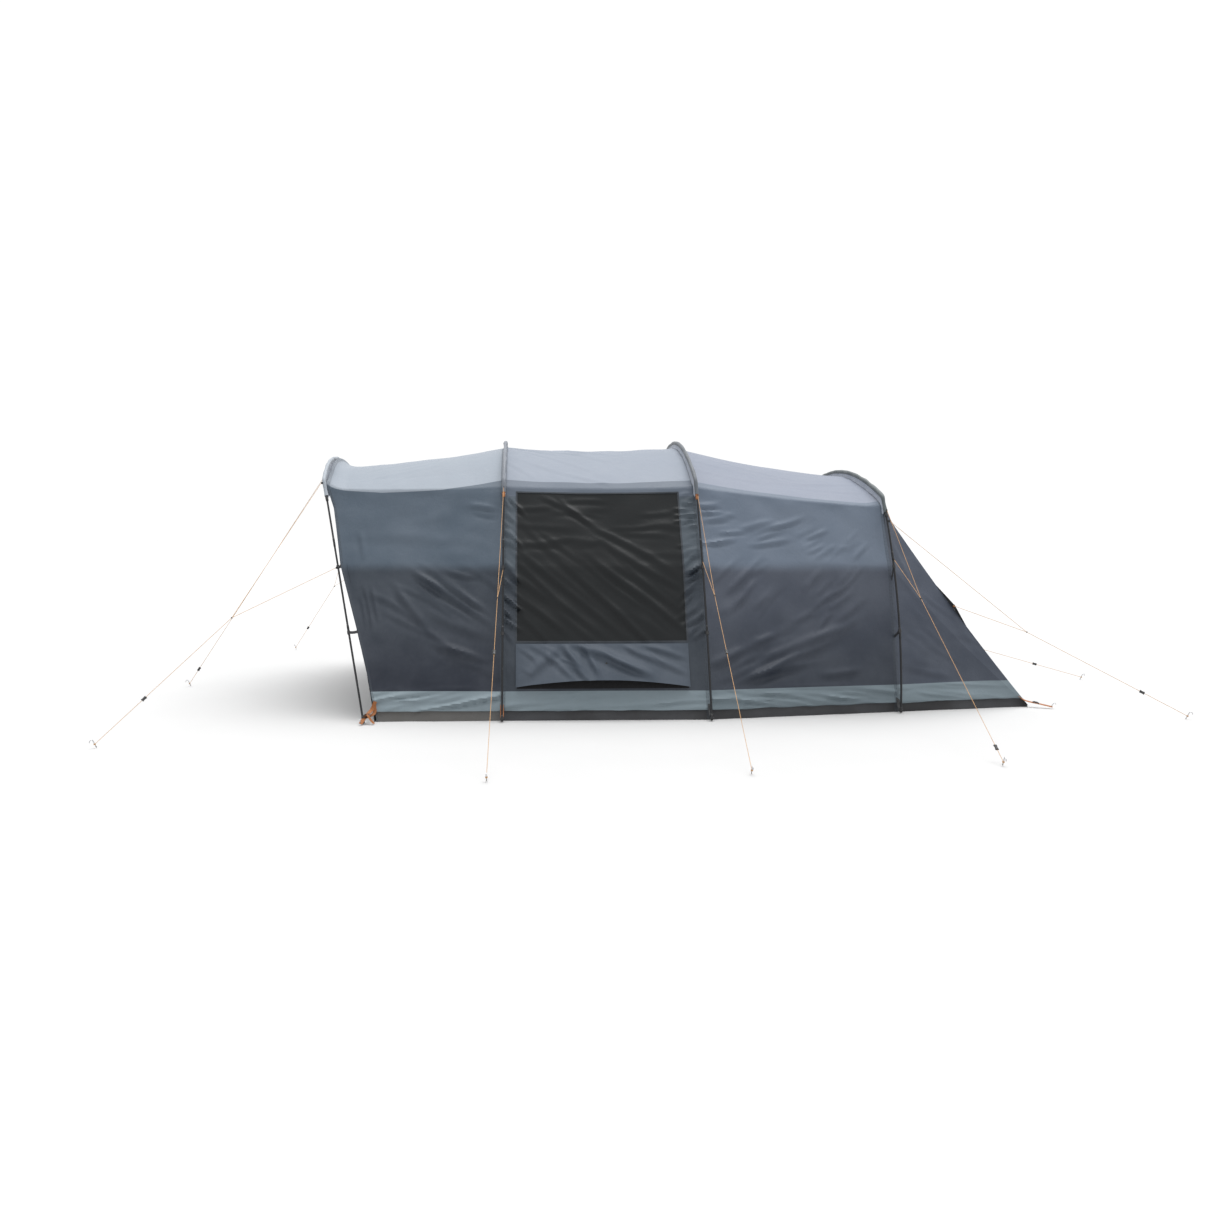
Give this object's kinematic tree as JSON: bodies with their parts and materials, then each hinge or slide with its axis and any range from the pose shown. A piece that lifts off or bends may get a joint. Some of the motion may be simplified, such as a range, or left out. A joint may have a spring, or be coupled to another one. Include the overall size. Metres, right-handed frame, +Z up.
{
  "type": "tunnel tent",
  "caption": "Tunnel tent on outside pole hoops with a leaning front, side windows, vent flaps, hanging bedroom, sloping rear and guy lines with runners and pegs.",
  "frame": {"origin": "middle of the pitched tent body on the ground, without guy lines and pegs", "axes": "+X from the leaning front towards the sloping rear, +Y towards the far side, +Z up"},
  "size_m": [7.5282, 5.9012, 2.0185],
  "materials": {
    "pole_tube": "satin black coated tube",
    "sleeve_fabric": "light grey-blue woven polyester strip",
    "flysheet_fabric": "coated woven polyester, grey-blue, slightly glossy",
    "window_film": "dark tinted clear film",
    "inner_fabric": "breathable light grey polyester",
    "groundsheet_fabric": "coated dark grey woven sheet",
    "zip_metal": "cast slider, satin",
    "guy_cord": "braided polyester cord, sand orange",
    "runner_plastic": "moulded black plastic",
    "peg_steel": "bent steel wire"
  },
  "bodies": {
    "tent": {"front_hoop_pole": "pole_tube", "front_pole_sleeve": "sleeve_fabric", "second_hoop_pole": "pole_tube", "second_pole_sleeve": "sleeve_fabric", "third_hoop_pole": "pole_tube", "third_pole_sleeve": "sleeve_fabric", "rear_hoop_pole": "pole_tube", "rear_pole_sleeve": "sleeve_fabric", "fly_front_bay": "flysheet_fabric", "fly_bedroom_bay": "flysheet_fabric", "fly_rear_end": "flysheet_fabric", "fly_living_bay": "flysheet_fabric", "near_window": "window_film", "far_window": "window_film", "front_wall": "flysheet_fabric", "inner_front_wall": "inner_fabric", "inner_tent": "inner_fabric", "groundsheet": "groundsheet_fabric", "guy_line_front_near": "guy_cord", "peg_front_near": "peg_steel", "guy_line_front_far": "guy_cord", "peg_front_far": "peg_steel", "guy_line_front_centre": "guy_cord", "peg_front_centre": "peg_steel", "guy_line_second_near": "guy_cord", "peg_second_near": "peg_steel", "guy_line_second_far": "guy_cord", "peg_second_far": "peg_steel", "guy_line_third_near": "guy_cord", "peg_third_near": "peg_steel", "guy_line_third_far": "guy_cord", "peg_third_far": "peg_steel", "guy_line_rear_side_near": "guy_cord", "peg_rear_side_near": "peg_steel", "guy_line_rear_side_far": "guy_cord", "peg_rear_side_far": "peg_steel", "guy_line_rear_corner_near": "guy_cord", "peg_rear_corner_near": "peg_steel", "guy_line_rear_corner_far": "guy_cord", "peg_rear_corner_far": "peg_steel", "guy_line_rear_centre": "guy_cord", "peg_rear_centre": "peg_steel"},
    "front_door": {"front_door": "flysheet_fabric"},
    "inner_door": {"inner_door": "inner_fabric"},
    "near_vent_flap": {"near_vent_flap": "flysheet_fabric"},
    "far_vent_flap": {"far_vent_flap": "flysheet_fabric"},
    "front_zip_slider": {"front_zip_slider": "zip_metal"},
    "inner_zip_slider": {"inner_zip_slider": "zip_metal"},
    "runner_front_near": {"runner_front_near": "runner_plastic"},
    "runner_front_far": {"runner_front_far": "runner_plastic"},
    "runner_front_centre": {"runner_front_centre": "runner_plastic"},
    "runner_second_near": {"runner_second_near": "runner_plastic"},
    "runner_second_far": {"runner_second_far": "runner_plastic"},
    "runner_third_near": {"runner_third_near": "runner_plastic"},
    "runner_third_far": {"runner_third_far": "runner_plastic"},
    "runner_rear_side_near": {"runner_rear_side_near": "runner_plastic"},
    "runner_rear_side_far": {"runner_rear_side_far": "runner_plastic"},
    "runner_rear_corner_near": {"runner_rear_corner_near": "runner_plastic"},
    "runner_rear_corner_far": {"runner_rear_corner_far": "runner_plastic"},
    "runner_rear_centre": {"runner_rear_centre": "runner_plastic"}
  },
  "joints": [
    {"name": "front_door_swing", "type": "hinge", "parent": "tent", "child": "front_door", "pos_m": [-2.07269, -0.1205, 0.08707], "axis": [0.2532, 0, -0.9674], "range_deg": [0, 90]},
    {"name": "inner_door_swing", "type": "hinge", "parent": "tent", "child": "inner_door", "pos_m": [0.2561, 0.3995, 0.12], "axis": [0, 0, -1], "range_deg": [0, 110]},
    {"name": "near_vent_flap_lift", "type": "hinge", "parent": "tent", "child": "near_vent_flap", "pos_m": [-0.4949, -1.31279, 0.50602], "axis": [-1, 0, 0], "range_deg": [0, 55]},
    {"name": "far_vent_flap_lift", "type": "hinge", "parent": "tent", "child": "far_vent_flap", "pos_m": [-0.4949, 1.31279, 0.50602], "axis": [1, 0, 0], "range_deg": [0, 55]},
    {"name": "front_zip_slide", "type": "slide", "parent": "tent", "child": "front_zip_slider", "axis": [-0.2496, 0.168, 0.9537], "range_m": [0, 1.05]},
    {"name": "inner_zip_slide", "type": "slide", "parent": "tent", "child": "inner_zip_slider", "axis": [0, 0, 1], "range_m": [0, 0.95]},
    {"name": "runner_front_near_slide", "type": "slide", "parent": "tent", "child": "runner_front_near", "axis": [0.5506, 0.5598, 0.6192], "range_m": [-0.25, 0.25]},
    {"name": "runner_front_far_slide", "type": "slide", "parent": "tent", "child": "runner_front_far", "axis": [0.4895, -0.5873, 0.6446], "range_m": [-0.25, 0.25]},
    {"name": "runner_front_centre_slide", "type": "slide", "parent": "tent", "child": "runner_front_centre", "axis": [0.5302, 0.0217, 0.8476], "range_m": [-0.09, 0.25]},
    {"name": "runner_second_near_slide", "type": "slide", "parent": "tent", "child": "runner_second_near", "axis": [0.0223, 0.777, 0.6291], "range_m": [-0.25, 0.25]},
    {"name": "runner_second_far_slide", "type": "slide", "parent": "tent", "child": "runner_second_far", "axis": [0.0223, -0.777, 0.6291], "range_m": [-0.25, 0.25]},
    {"name": "runner_third_near_slide", "type": "slide", "parent": "tent", "child": "runner_third_near", "axis": [0.029, 0.7937, 0.6076], "range_m": [-0.25, 0.25]},
    {"name": "runner_third_far_slide", "type": "slide", "parent": "tent", "child": "runner_third_far", "axis": [0.029, -0.7937, 0.6076], "range_m": [-0.25, 0.25]},
    {"name": "runner_rear_side_near_slide", "type": "slide", "parent": "tent", "child": "runner_rear_side_near", "axis": [0.0083, 0.7882, 0.6153], "range_m": [-0.05, 0.25]},
    {"name": "runner_rear_side_far_slide", "type": "slide", "parent": "tent", "child": "runner_rear_side_far", "axis": [0.0083, -0.7882, 0.6153], "range_m": [-0.05, 0.25]},
    {"name": "runner_rear_corner_near_slide", "type": "slide", "parent": "tent", "child": "runner_rear_corner_near", "axis": [-0.8385, 0.2579, 0.48], "range_m": [-0.25, 0.25]},
    {"name": "runner_rear_corner_far_slide", "type": "slide", "parent": "tent", "child": "runner_rear_corner_far", "axis": [-0.8385, -0.2579, 0.48], "range_m": [-0.25, 0.25]},
    {"name": "runner_rear_centre_slide", "type": "slide", "parent": "tent", "child": "runner_rear_centre", "axis": [-0.9616, -0.0484, 0.2701], "range_m": [-0.25, 0.25]}
  ]
}
